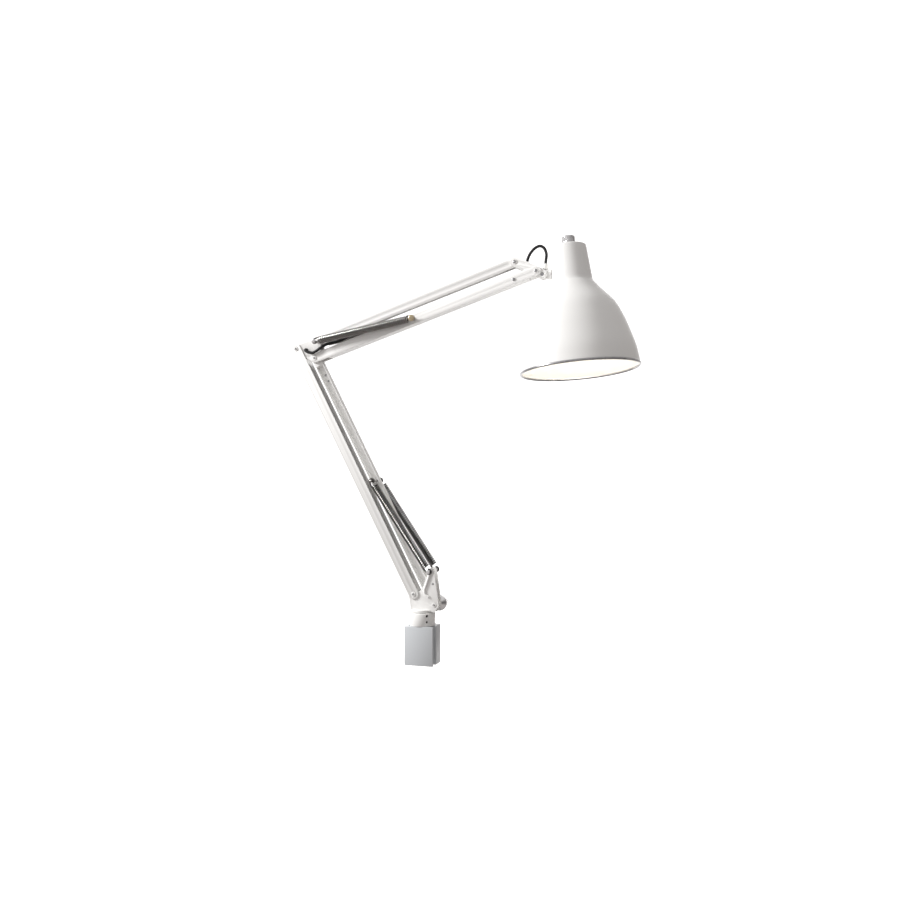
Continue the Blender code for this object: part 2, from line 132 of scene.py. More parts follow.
class LampColours(bpy.types.PropertyGroup):
    """Base colours of the finishes"""

    white: FloatVectorProperty(name="White coat", description="Powder coat of arms and shade",
                               default=(0.87, 0.865, 0.85), size=3, subtype="COLOR")
    grey: FloatVectorProperty(name="Grey coat", description="Powder coat of the mounting block",
                              default=(0.56, 0.58, 0.60), size=3, subtype="COLOR")
    chrome: FloatVectorProperty(name="Chrome", description="Polished plate of knobs and studs",
                                default=(0.86, 0.86, 0.87), size=3, subtype="COLOR")
    spring: FloatVectorProperty(name="Spring wire", description="Bright drawn wire",
                                default=(0.36, 0.35, 0.34), size=3, subtype="COLOR")
    steel: FloatVectorProperty(name="Steel", description="Plated pins and screws",
                               default=(0.42, 0.42, 0.43), size=3, subtype="COLOR")
    brass: FloatVectorProperty(name="Brass", description="Spring anchor screws",
                               default=(0.56, 0.47, 0.33), size=3, subtype="COLOR")
    black: FloatVectorProperty(name="Black", description="Flex sheath and moulded parts",
                               default=(0.012, 0.012, 0.013), size=3, subtype="COLOR")


# ---------------------------------------------------------------------------------------------
# Shader nodes as Python expressions


class Link:
    """A node's output with the usual operators, each of which adds one Math node."""

    def __init__(self, tree, socket):
        self.tree, self.socket = tree, socket

    def maths(self, operation, a, b):
        """One Math node on a and b, which are Links or numbers."""
        return self.tree.node("ShaderNodeMath", {"operation": operation}, {0: a, 1: b})

    def __add__(self, other):
        return self.maths("ADD", self, other)

    def __radd__(self, other):
        return self.maths("ADD", other, self)

    def __sub__(self, other):
        return self.maths("SUBTRACT", self, other)

    def __rsub__(self, other):
        return self.maths("SUBTRACT", other, self)

    def __mul__(self, other):
        return self.maths("MULTIPLY", self, other)

    def __rmul__(self, other):
        return self.maths("MULTIPLY", other, self)


class Tree:
    """A node tree with one method that adds any node other than maths on a Link."""

    def __init__(self, owner):
        owner.use_nodes = True
        self.owner, self.nodes, self.links = owner, owner.node_tree.nodes, owner.node_tree.links
        self.place = self.node("ShaderNodeTexCoord", {}, {}, "Object")

    def node(self, kind, settings, inputs, output=0):
        """Adds a node: its settings first (stops are a ramp's), then its sockets."""
        made = self.nodes.new(kind)
        for key, value in settings.items():
            if key == "stops":
                for stop, (at, grey) in zip(made.color_ramp.elements, value):
                    stop.position, stop.color = at, (grey, grey, grey, 1)
            else:
                setattr(made, key, value)
        for key, value in inputs.items():
            self.put(made.inputs[key], value)
        return Link(self, made.outputs[output])

    def put(self, socket, value):
        """Links a Link to a socket, or sets the socket to a plain value."""
        if isinstance(value, Link):
            self.links.new(value.socket, socket)
        else:
            socket.default_value = value

    def ramp(self, value, low, high):
        """Value taken from low..high to 0..1."""
        return self.node("ShaderNodeValToRGB", {"stops": ((low, 0.0), (high, 1.0))}, {"Fac": value})


class Finish(Tree):
    """One material, with the textures and colours its finish is made from."""

    def __init__(self, name):
        super().__init__(bpy.data.materials.new(name))
        self.shader = self.nodes["Principled BSDF"]

    def noise(self, scale, detail=2.0, roughness=0.5, stretch=None):
        """Noise with about scale lumps to the metre, from 0 to 1; stretch draws it out."""
        place = self.place
        if stretch is not None:
            place = self.node("ShaderNodeMapping", {}, {"Vector": place, "Scale": stretch})
        return self.node("ShaderNodeTexNoise", {},
                         {"Vector": place, "Scale": scale, "Detail": detail, "Roughness": roughness})

    def mix(self, factor, a, b):
        """A colour between a and b."""
        return self.node("ShaderNodeMix", {"data_type": "RGBA"},
                         {0: factor, 6: (*a, 1), 7: (*b, 1)}, 2)

    def bump(self, height, depth):
        """A normal raised by height, which runs from 0 to 1, over depth metres."""
        return self.node("ShaderNodeBump", {}, {"Height": height, "Distance": depth, "Strength": 1.0})

    def feed(self, **values):
        """Sets or links the shader's sockets; underscores in names stand for spaces."""
        for key, value in values.items():
            self.put(self.shader.inputs[key.replace("_", " ")], value)
        return self.owner


def shaded(colour, factor):
    """A colour made lighter or darker."""
    return tuple(min(1.0, c * factor) for c in colour)


def powder_coat(name, colour, rough):
    """Powder coat: a fine orange peel, faint cloudiness and a scatter of tiny pits."""
    coat = Finish(name)
    cloud = coat.noise(14, 3)
    peel = coat.noise(1500, 2, 0.45)
    pits = coat.ramp(coat.noise(5200, 1), 0.66, 0.74)
    tint = coat.mix(cloud, shaded(colour, 0.975), shaded(colour, 1.015))
    return coat.feed(Base_Color=tint, Roughness=rough + cloud * 0.06 + pits * 0.1,
                     Normal=coat.bump(peel - pits * 0.4, 0.018 * MM), Coat_Weight=0.12,
                     Coat_Roughness=0.22)


def polished(name, colour, rough):
    """Polished plate: faint hairlines and soft handling marks."""
    plate = Finish(name)
    hairs = plate.noise(900, 2, 0.6, (1.0, 9.0, 1.0))
    marks = plate.noise(60, 3, 0.6)
    tint = plate.mix(marks, shaded(colour, 0.93), shaded(colour, 1.04))
    return plate.feed(Base_Color=tint, Metallic=1.0, Roughness=rough + hairs * 0.05 + marks * 0.06,
                      Normal=plate.bump(hairs, 0.004 * MM))


def drawn_wire(name, colour):
    """Drawn spring wire: die lines, a little oil darkening between bright patches."""
    wire = Finish(name)
    lines = wire.noise(2600, 2, 0.6)
    oil = wire.noise(220, 3, 0.6)
    tint = wire.mix(wire.ramp(oil, 0.35, 0.7), shaded(colour, 0.85), shaded(colour, 1.08))
    return wire.feed(Base_Color=tint, Metallic=1.0, Roughness=0.12 + lines * 0.08 + oil * 0.06,
                     Normal=wire.bump(lines, 0.01 * MM))


def moulded(name, colour, rough, grain):
    """Moulded plastic or a flex's sheath: fine grain and slightly rubbed patches."""
    skin = Finish(name)
    fine = skin.noise(grain, 2, 0.55)
    rubbed = skin.noise(75, 3)
    tint = skin.mix(rubbed, shaded(colour, 0.9), shaded(colour, 1.25))
    return skin.feed(Base_Color=tint, Roughness=rough - rubbed * 0.1 + fine * 0.06,
                     Specular_IOR_Level=0.3, Normal=skin.bump(fine, 0.02 * MM))


def opal_glass(name):
    """The lit bulb: opal glass that glows warm, a little brighter where the coating is thin."""
    glass = Finish(name)
    coating = glass.noise(90, 3)
    glow = glass.mix(coating, (1.0, 0.93, 0.80), (1.0, 0.96, 0.88))
    return glass.feed(Base_Color=glass.mix(coating, (0.93, 0.92, 0.89), (0.97, 0.96, 0.94)),
                      Roughness=0.18 + coating * 0.05, Emission_Color=glow, Emission_Strength=6.0)


MADE = {}


def finish(slot):
    """The material for one of the record's slots, made once."""
    if slot not in MADE:
        c = bpy.context.scene.lamp_colours
        makers = {
            "white_paint": lambda: powder_coat("white_coat", tuple(c.white), 0.34),
            "grey_paint": lambda: powder_coat("grey_coat", tuple(c.grey), 0.40),
            "chrome": lambda: polished("chrome_plate", tuple(c.chrome), 0.07),
            "steel": lambda: polished("plated_steel", tuple(c.steel), 0.22),
            "brass": lambda: polished("turned_brass", tuple(c.brass), 0.20),
            "spring_steel": lambda: drawn_wire("spring_wire", tuple(c.spring)),
            # The lower springs' wire is the same drawn wire made 0.4 times as dark: painted shade, not a finish of
            # its own.
            "spring_painted_shade": lambda: drawn_wire("oiled_spring_wire", shaded(c.spring, 0.4)),
            "black_rubber": lambda: moulded("flex_sheath", tuple(c.black), 0.55, 1900),
            "black_plastic": lambda: moulded("black_moulding", tuple(c.black), 0.5, 1400),
            "bush_plastic": lambda: moulded("bush_nylon", (0.74, 0.73, 0.69), 0.5, 1200),
            "bulb_glass": lambda: opal_glass("opal_glass"),
        }
        MADE[slot] = makers[slot]()
    return MADE[slot]


# ---------------------------------------------------------------------------------------------
# Surfaces


def unit(v):
    """Vectors along the last axis, each brought to length one."""
    return v / np.linalg.norm(v, axis=-1, keepdims=True)


def grid_mesh(name, points, wrap_rows=False, cap=False):
    """A mesh from an array of points (rows, columns, 3) whose columns close on themselves.

    Each quad joins four neighbours; wrap_rows also joins the last row to the first, and cap
    closes the first and last rows with a fan's centre point.
    """
    rows, cols = points.shape[:2]
    verts = points.reshape(-1, 3)
    i = np.arange(rows if wrap_rows else rows - 1)[:, None]
    j = np.arange(cols)[None, :]
    below, above = i * cols, ((i + 1) % rows) * cols
    right = (j + 1) % cols
    quads = np.stack([below + j, below + right, above + right, above + j], -1).reshape(-1, 4)
    faces = quads.tolist()
    if cap:
        ends = np.stack([points[0].mean(0), points[-1].mean(0)])
        first = len(verts)
        verts = np.concatenate([verts, ends])
        ring = np.arange(cols)
        faces += np.stack([np.roll(ring, -1), ring, np.full(cols, first)], -1).tolist()
        top = (rows - 1) * cols + ring
        faces += np.stack([top, np.roll(top, -1), np.full(cols, first + 1)], -1).tolist()
    mesh = bpy.data.meshes.new(name)
    mesh.from_pydata(verts.tolist(), [], faces)
    work = bmesh.new()
    work.from_mesh(mesh)
    bmesh.ops.remove_doubles(work, verts=work.verts, dist=WELD)
    bmesh.ops.recalc_face_normals(work, faces=work.faces)
    work.to_mesh(mesh)
    work.free()
    mesh.shade_smooth()
    mesh.set_sharp_from_angle(angle=CREASE)
    return mesh


def piece(name, mesh, body, slot, *nodes):
    """An object for a finished mesh, riding on its body and standing for its CAD nodes."""
    made = bpy.data.objects.new(name, mesh)
    bpy.context.scene.collection.objects.link(made)
    mesh.materials.clear()
    mesh.materials.append(finish(slot))
    if body:
        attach(made, body)
    if nodes:
        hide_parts(*nodes)
    return made


def lathe(profile, base, axis, steps, ripple=None):
    """Points of a turned surface: a profile of (distance along axis, radius) swept round the
    axis.  ripple(angle, row) multiplies the radius, which gives flutes, knurls and sockets."""
    profile = np.array(profile, float)
    axis = unit(np.array(axis, float))
    side = unit(np.cross(axis, [0.31, 0.17, 0.93] if abs(axis[1]) > 0.9 else ACROSS))
    other = np.cross(axis, side)
    angle = np.linspace(0, TAU, steps, endpoint=False)[None, :]
    radius = np.repeat(profile[:, 1:2], steps, 1)
    if ripple is not None:
        radius = radius * ripple(angle, np.arange(len(profile))[:, None])
    spoke = np.cos(angle)[..., None] * side + np.sin(angle)[..., None] * other
    return np.array(base) + profile[:, :1, None] * axis + radius[..., None] * spoke


def through(points, count):
    """A smooth curve through the given points: on each span the cubic whose slope at a point is
    half the step between that point's neighbours."""
    p = np.array(points, float)
    p = np.concatenate([2 * p[:1] - p[1:2], p, 2 * p[-1:] - p[-2:-1]])
    u = np.linspace(0, len(p) - 3, count)
    k = np.minimum(u.astype(int), len(p) - 4)
    t = (u - k)[:, None]
    a, b, c, d = p[k], p[k + 1], p[k + 2], p[k + 3]
    return 0.5 * (2 * b + (c - a) * t + (2 * a - 5 * b + 4 * c - d) * t**2
                  + (3 * b - a - 3 * c + d) * t**3)


def swept(path, radius, sides, reference):
    """A tube's points: at each point of the path a circle square to the path, turned so that it
    starts at the part of the reference that is square to the path."""
    along = unit(np.gradient(path, axis=0))
    first = unit(reference - (reference * along).sum(-1, keepdims=True) * along)
    second = np.cross(along, first)
    angle = np.linspace(0, TAU, sides, endpoint=False)[None, :, None]
    return path[:, None] + radius * (np.cos(angle) * first[:, None] + np.sin(angle) * second[:, None])


def softened(node, width, segments=2):
    """A CAD node's own shape with its flat faces joined up and its sharp edges rounded."""
    work = bmesh.new()
    work.from_mesh(frame["nodes"][node].data)
    bmesh.ops.remove_doubles(work, verts=work.verts, dist=CAD_WELD)
    bmesh.ops.dissolve_limit(work, angle_limit=np.radians(1.0), verts=work.verts, edges=work.edges)
    bmesh.ops.recalc_face_normals(work, faces=work.faces)
    mesh = bpy.data.meshes.new(node + "_finished")
    work.to_mesh(mesh)
    work.free()
    made = piece(node + "_finished", mesh, BODY_OF[node], SLOT_OF[node], node)
    rounding = made.modifiers.new("rounding", "BEVEL")
    rounding.width = width
    rounding.segments = segments
    rounding.limit_method = "ANGLE"
    rounding.angle_limit = np.radians(32)
    rounding.harden_normals = True
    mesh.shade_smooth()


def hexagon(angle):
    """Radius of a regular hexagon, as a share of the radius of the circle inside it."""
    sixth = TAU / 6
    return 1 / np.cos((angle + sixth / 2) % sixth - sixth / 2)


def six_sided(first):
    """A ripple for lathe that makes the rows from the first one on hexagonal."""
    return lambda angle, row: np.where(row >= first, hexagon(angle), 1.0)


def socket_head(base, axis, radius, height, socket):
    """A button head with a hexagon socket: a quarter of an ellipse from its rim to the socket's
    mouth, then down a six-sided wall to the socket's floor."""
    turn = np.linspace(0, np.pi / 2, 8)
    dome = np.stack([height * 0.35 + height * 0.65 * np.sin(turn),
                     socket * 1.25 + (radius - socket * 1.25) * np.cos(turn)], -1)
    profile = [(0, radius)] + dome.tolist() + [(height * 0.96, socket), (height * 0.25, socket * 0.98),
                                               (height * 0.2, 0)]
    sunk = len(profile) - 3
    return lathe(profile, base, axis, 36, six_sided(sunk))


# ---------------------------------------------------------------------------------------------
# Operators


class LampOperator:
    """What every piece's operator shares."""

    bl_options = {"REGISTER", "UNDO"}

    @property
    def sizes(self):
        """The sizes set in the scene."""
        return bpy.context.scene.lamp_sizes


class LAMP_OT_block(LampOperator, bpy.types.Operator):
    """Make the mounting block, its cover and the collar with its grub screws"""

    bl_idname = "lamp.block"
    bl_label = "Mounting block and collar"

    def execute(self, context):
        """The block is the CAD's shape, rounded.  A grub screw is a profile turned about a line
        square to the swivel's axis: a flat end, then a six-sided socket sunk in it."""
        for node in ("block_body", "block_cover"):
            softened(node, self.sizes.block_edge, 3)
        softened("collar", self.sizes.edge)
        for node, radius in (("grub_screw_upper", 1.8 * MM), ("grub_screw_lower", 1.5 * MM)):
            centre = middle(node)
            out = unit(np.array([centre[0], centre[1], 0.0]))
            base = np.array([0, 0, centre[2]]) + out * 12.0 * MM
            profile = [(0, 0), (0, radius), (5.2 * MM, radius), (5.5 * MM, radius * 0.85),
                       (5.5 * MM, radius * 0.5), (2.5 * MM, radius * 0.48), (2.5 * MM, 0)]
            shape = lathe(profile, base, out, 36, six_sided(4))
            piece(node + "_socket", grid_mesh(node, shape), "mount", "black_plastic", node)
        return {"FINISHED"}


class LAMP_OT_fork(LampOperator, bpy.types.Operator):
    """Make the cast fork with a raised rim and a rivet on each spring horn"""

    bl_idname = "lamp.fork"
    bl_label = "Base fork"

    def execute(self, context):
        """A rim is a circle carried along a smooth curve down the horn's outline; a rivet is a
        button head part of the way from the front pin to the spring stud."""
        softened("base_fork", self.sizes.edge * 1.4, 3)
        spring, front = pivot("lower_spring_swing"), pivot("lower_front_follow")
        for side, word in ((-1, "near"), (1, "far")):
            face = side * 8.2 * MM
            drops = ((-1.0, -1.0), (-4.0, -11.0), (-7.5, -21.0), (-10.5, -30.0), (-9.0, -36.5), (-3.5, -40.5))
            route = [spring + [x * MM, face, z * MM] for x, z in drops]
            path = through(route, 60)
            rim = swept(path, 2.1 * MM, 14, np.broadcast_to(ACROSS, path.shape))
            piece("horn_rim_" + word, grid_mesh("horn_rim", rim, cap=True), "swivel", "white_paint")
            dot = front + (spring - front) * 0.62 + [1.0 * MM, side * 7.5 * MM, 0]
            head = socket_head(dot, [0, side, 0], 1.7 * MM, 0.8 * MM, 0.8 * MM)
            piece("horn_rivet_" + word, grid_mesh("horn_rivet", head), "swivel", "steel")
        return {"FINISHED"}


class LAMP_OT_bars(LampOperator, bpy.types.Operator):
    """Make the four bars, the knuckle cheeks, the head plates and the shade's lug"""

    bl_idname = "lamp.bars"
    bl_label = "Bars and plates"

    def execute(self, context):
        for node in ("lower_rear_bar", "lower_front_bar", "upper_top_bar", "upper_low_bar",
                     "knuckle_cheek_near", "knuckle_cheek_far", "head_plate_near", "head_plate_far",
                     "shade_lug", "flex_entry_boss"):
            softened(node, self.sizes.edge)
        return {"FINISHED"}


class LAMP_OT_fasteners(LampOperator, bpy.types.Operator):
    """Make the pivot pins, rivets, spring studs, crossbar and slotted anchor screws"""

    bl_idname = "lamp.fasteners"
    bl_label = "Pins, studs and screws"

    @staticmethod
    def share(node):
        """A pin head's radius over its washer's: the head end's screws are the large ones."""
        return 0.72 if node.startswith("head") else 0.5

    def pin(self, node):
        """A pin's two socket heads, each on a chamfered washer, and its plain shank: profiles
        turned about the pin's own axis."""
        low, high = box(node)
        centre, radius, height, shank_radius = (low + high) / 2, (high[0] - low[0]) / 2, 1.4 * MM, 2.45 * MM
        washer = [(0, 0), (0, radius), (0.35 * MM, radius), (0.6 * MM, radius * 0.93), (0.6 * MM, 0)]
        for side, word in ((-1, "near"), (1, "far")):
            end = high[1] if side > 0 else low[1]
            base = np.array([centre[0], end - side * height, centre[2]])
            ring = lathe(washer, base, [0, side, 0], 40)
            nodes = [node] if side < 0 else []
            piece(f"{node}_washer_{word}", grid_mesh(node, ring), BODY_OF[node], "white_paint", *nodes)
            head = socket_head(base, [0, side, 0], radius * self.share(node), height, 1.0 * MM)
            piece(f"{node}_head_{word}", grid_mesh(node, head), BODY_OF[node], "steel")
        near, far = low[1] + height, high[1] - height
        shank = [(near, 0), (near, shank_radius), (far, shank_radius), (far, 0)]
        shape = lathe(shank, [centre[0], 0, centre[2]], ACROSS, 32)
        piece(node + "_shank", grid_mesh(node, shape), BODY_OF[node], "steel")

    def stud(self, node, slotted):
        """A spring stud: a profile with a groove for the eye and a head that is a quarter of an
        ellipse.  A slotted head's points within half a slot's width of a line go straight down."""
        low, high = box(node)
        centre, radius = (low + high) / 2, (high[0] - low[0]) / 2
        side = np.sign(centre[1])
        start, end = sorted((abs(low[1]), abs(high[1])))
        neck = 2.0 * MM
        turn = np.linspace(0, np.pi / 2, 14)
        rise = 1.0 * MM if slotted else 0.7 * MM
        dome = np.stack([end - rise + rise * np.sin(turn), radius * (0.25 + 0.75 * np.cos(turn))], -1)
        profile = [(start, 0), (start, neck * 1.3), (start + 0.8 * MM, neck * 1.3),
                   (start + 1.2 * MM, neck), (end - 2.2 * MM, neck), (end - 2.0 * MM, radius)]
        tip = [(end, radius * r) for r in (0.2, 0.15, 0.1, 0.05, 0.0)]
        shape = lathe(profile + dome.tolist() + tip, [centre[0], 0, centre[2]], [0, side, 0], 128)
        if slotted:
            off = shape - np.array([centre[0], 0, centre[2]])
            across = np.abs(off[..., 0] * 0.55 + off[..., 2] * 0.84)
            on_head = (np.abs(off[..., 1]) > end - rise * 1.02) & (across < 0.8 * MM)
            shape[..., 1] -= np.where(on_head, side * 1.4 * MM, 0.0)
        piece(node + "_finished", grid_mesh(node, shape), BODY_OF[node], SLOT_OF[node], node)

    def rivet(self, node):
        """A button head that fills a CAD rivet's or screw's box and faces the near side."""
        low, high = box(node)
        base = np.array([(low[0] + high[0]) / 2, high[1], (low[2] + high[2]) / 2])
        radius = (high[0] - low[0]) / 2
        head = socket_head(base, [0, -1, 0], radius, high[1] - low[1], radius * 0.45)
        piece(node + "_head", grid_mesh(node, head), BODY_OF[node], "steel", node)

    def crossbar(self):
        """The lower springs' crossbar: a turned rod with chamfered ends and a waist for each
        hook, whose second half is its first half mirrored."""
        low, high = box("lower_spring_crossbar")
        centre, reach, r = (low + high) / 2, (high[1] - low[1]) / 2, 2.0 * MM
        waist = reach - 5.0 * MM
        profile = [(-reach, 0), (-reach, r * 0.6), (-reach + 0.6 * MM, r), (-waist - 1.1 * MM, r),
                   (-waist - 0.7 * MM, r * 0.82), (-waist + 0.7 * MM, r * 0.82), (-waist + 1.1 * MM, r)]
        profile += [(-a, b) for a, b in reversed(profile)]
        shape = lathe(profile, centre, ACROSS, 32)
        piece("spring_crossbar", grid_mesh("spring_crossbar", shape), "lower_front", "spring_steel",
              "lower_spring_crossbar")

    def execute(self, context):
        for node in ("base_rear_pin", "base_front_pin", "elbow_rear_pin", "elbow_front_pin",
                     "head_top_pin", "head_low_pin"):
            self.pin(node)
        for side in ("near", "far"):
            self.stud("base_spring_stud_" + side, False)
            self.stud("knuckle_spring_stud_" + side, False)
            self.stud("spring_anchor_screw_" + side, True)
        for node in ("bar_rivet_1", "bar_rivet_2", "stop_screw"):
            self.rivet(node)
        self.crossbar()
        return {"FINISHED"}


class LAMP_OT_springs(LampOperator, bpy.types.Operator):
    """Wind the four tension springs, each one wire with an eye, a coil and a hook"""

    bl_idname = "lamp.springs"
    bl_label = "Tension springs"

    def wind(self, name, root, along, length, y, bodies, nodes):
        """One wire: three quarters of a ring round the root's stud, a bridge to the coil, the
        coil as a helix, a bridge, and three quarters of a ring round the anchor."""
        s = self.sizes
        side = np.cross(ACROSS, along)
        root = root * [1, 0, 1] + ACROSS * y
        mean, ring, lead, ring_end = s.coil - s.wire, 3.6 * MM, s.lead, 4 * MM
        turn = np.linspace(np.radians(-345), np.radians(-95), 30)[:, None]
        eye = root + ring * (np.cos(turn) * along + np.sin(turn) * side)
        u = np.linspace(0, 1, s.turns * 22)[:, None]
        swing = TAU * s.turns * u
        run = lead + (length - 2 * lead) * u
        coil = root + run * along - mean * (np.cos(swing) * side + np.sin(swing) * ACROSS)
        tip = root + along * length
        hook = (tip + ring * (-np.cos(turn) * along + np.sin(turn) * side))[::-1]
        first = self.bridge(eye[-1], eye[-1] - eye[-2], coil[0], coil[1] - coil[0])
        last = self.bridge(coil[-1], coil[-1] - coil[-2], hook[0], hook[1] - hook[0])
        path = np.concatenate([eye, first[1:-1], coil, last[1:-1], hook])
        # The tube's seam faces along the spring on the coil and across it on the rings.
        coiled = np.clip(((path - root) @ along - ring_end) / (lead - ring_end), 0, 1)
        coiled *= np.clip((length - (path - root) @ along - ring_end) / (lead - ring_end), 0, 1)
        reference = ACROSS * (1 - coiled[:, None]) + along * coiled[:, None]
        shape = swept(path, s.wire, 9, reference)
        made = piece(name, grid_mesh(name, shape, cap=True), None, "spring_steel", *nodes)
        # The lower springs take the darker copy of the same wire: painted shade.
        if name.startswith("lower"):
            made.data.materials[0] = finish("spring_painted_shade")
        list(root + along * lead)
        list(tip - along * lead)
        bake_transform(made)

    @staticmethod
    def bridge(a, leaving, b, arriving):
        """A cubic from a to b that leaves and arrives along the given steps."""
        reach = np.linalg.norm(b - a) * 0.9
        m0, m1 = unit(leaving) * reach, unit(arriving) * reach
        t = np.linspace(0, 1, 18)[:, None]
        return ((2 * t**3 - 3 * t**2 + 1) * a + (t**3 - 2 * t**2 + t) * m0
                + (3 * t**2 - 2 * t**3) * b + (t**3 - t**2) * m1)

    def execute(self, context):
        for arm, anchor in (("lower", "lower_spring_crossbar"), ("upper", "spring_anchor_screw_near")):
            root, along = pivot(arm + "_spring_swing"), direction(arm + "_spring_stretch")
            length = float((middle(anchor) * [1, 0, 1] - root) @ along)
            bodies = (arm + "_springs", arm + "_spring_tips")
            for side in ("near", "far"):
                nodes = [f"{arm}_spring_{side}", f"{arm}_spring_eye_{side}", f"{arm}_spring_hook_{side}"]
                self.wind(f"{arm}_tension_spring_{side}", root, along, length, middle(nodes[0])[1],
                          bodies, nodes)
        return {"FINISHED"}


class LAMP_OT_flexes(LampOperator, bpy.types.Operator):
    """Lay the round flex along the arms, over the elbow and in the loop at the head"""

    bl_idname = "lamp.flexes"
    bl_label = "Flex"

    def lay(self, node, points, count=120):
        """A flex: a circle carried along the smooth curve through its route's points, in mm."""
        path = through(np.array(points) * MM, count)
        shape = swept(path, self.sizes.flex, 16, np.broadcast_to(ACROSS, path.shape))
        return piece(node + "_sheath", grid_mesh(node, shape, cap=True), None, "black_rubber", node)

    def execute(self, context):
        elbow = self.lay("cable_elbow", [
            (-195.4, -12.0, 491.2), (-193.8, -12.7, 490.0), (-189.5, -13.0, 487.2), (-182, -13.0, 486),
            (-175, -12.8, 488.6), (-168, -12.2, 493.3), (-158, -9.8, 499), (-149, -7.0, 501.6),
            (-139, -3.6, 504.4), (-128, -0.8, 510.0), (-118, 0, 516.0), (-108, 0, 521.6)])
        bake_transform(elbow)
        start = pivot("head_level")
        loop = self.lay("cable_head_loop", [
            (start[0] / MM - 9.8, 0, start[2] / MM - 8.6), (start[0] / MM + 2.6, 0, start[2] / MM - 4.8),
            (159.5, 0, 607.0), (165.4, 0, 611.4), (167.6, 0, 618.0), (171.5, 0, 625.6),
            (178.0, 0, 632.4), (186, 0, 635.4), (192.6, 0, 631.6), (195.8, 0, 622.8), (195.2, 0, 615.0),
            (194.5, 0, 608.8)])
        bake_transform(loop)
        grommet = middle("elbow_grommet")
        profile = [(-0.7 * MM, 0), (-0.7 * MM, 3.1 * MM), (-0.4 * MM, 3.3 * MM), (0.2 * MM, 3.3 * MM),
                   (0.7 * MM, 2.7 * MM), (0.7 * MM, 2.0 * MM), (1.6 * MM, 1.9 * MM), (1.6 * MM, 0)]
        shape = lathe(profile, grommet, [0, -1, 0], 40)
        piece("elbow_gland", grid_mesh("elbow_gland", shape), "knuckle", "black_rubber", "elbow_grommet")
        return {"FINISHED"}


class LAMP_OT_shade(LampOperator, bpy.types.Operator):
    """Spin the bell shade with its rolled rim, and make what it holds inside"""

    bl_idname = "lamp.shade"
    bl_label = "Shade, bulb and lampholder"

    def execute(self, context):
        """All are profiles turned about the shade's axis, from its top down.  The bell's outside
        is a straight neck, then a smooth curve; its inside is the same moved in square to the
        slope by the wall.  The bulb is most of an ellipse on a curved stem, and the holder's
        radius rises and falls as a cosine."""
        s = self.sizes
        top, down = pivot("switch_turn"), -direction("switch_turn")
        bell = through(np.array([(54.8, 30.4), (69, 41.3), (90.8, 59.8), (113, 70.3), (136, 78),
                                 (159.8, 84.6), (180.5, 87.3), (184.6, 87.45)]) * MM, 60)
        neck = np.array([(2, 25.3), (10, 26.05), (25, 27.5), (40, 29.0), (50, 29.95)]) * MM
        outer = np.concatenate([neck, bell])
        slope = unit(np.gradient(outer, axis=0))
        inward = np.stack([slope[:, 1], -slope[:, 0]], -1)
        inner = (outer + inward * s.wall)[::-1]
        lip = np.array([[outer[-1, 0] + 0.4 * MM, outer[-1, 1] - s.wall / 2]])
        turn = np.linspace(0, TAU, 16, endpoint=False)[:, None]
        bead = lip + [s.bead * 0.3, s.bead * 0.2] + s.bead * np.concatenate([np.cos(turn), np.sin(turn)], -1)
        shape = lathe(bead, top, down, 160)
        # The rim bead is made in plated steel rather than the shade's white coat so that it shows as a dark line
        # round the mouth: painted shade on the rolled edge.
        piece("shade_rim_bead", grid_mesh("rim_bead", shape, wrap_rows=True), "shade", "steel")
        corner = np.linspace(0, np.pi / 2, 7)[:-1, None]
        shoulder = np.concatenate([2.0 * MM - 2.0 * MM * np.cos(corner),
                                   23.2 * MM + 2.05 * MM * np.sin(corner)], -1)
        profile = np.concatenate([[(0, 7.0 * MM)], shoulder, outer, lip, inner,
                                  [(1.4 * MM, 22.8 * MM), (1.4 * MM, 7.0 * MM)]])
        shape = lathe(profile, top, down, 160)
        piece("bell_shade", grid_mesh("bell_shade", shape, wrap_rows=True), "shade", "white_paint", "shade")

        turn = np.linspace(0, np.pi, 40)[1:-1]
        globe = np.stack([116 * MM - 31.5 * MM * np.cos(turn), 29.8 * MM * np.sin(turn) ** 0.92], -1)
        globe = globe[globe[:, 0] > 92 * MM]
        stem = through(np.array([(62.5, 12.6), (70, 13.2), (80, 16.4), (88, 21.0)]) * MM, 10)
        glass = np.concatenate([[(62.5 * MM, 0)], stem, globe, [(147.5 * MM, 0)]])
        piece("opal_bulb", grid_mesh("opal_bulb", lathe(glass, top, down, 72)), "shade", "bulb_glass", "bulb")
        steps = np.arange(24, 62, 0.8)
        ribs = 17.4 + 0.35 * np.cos(steps * 2.1) - 5.0 * np.clip((30 - steps) / 6, 0, 1)
        holder = np.concatenate([[(24, 0)], np.stack([steps, ribs], -1), [(62, 16.8), (62, 0)]]) * MM
        piece("ribbed_lampholder", grid_mesh("lampholder", lathe(holder, top, down, 56)), "shade",
              "black_plastic", "lampholder")
        softened("switch_body", 0.5 * MM)
        return {"FINISHED"}


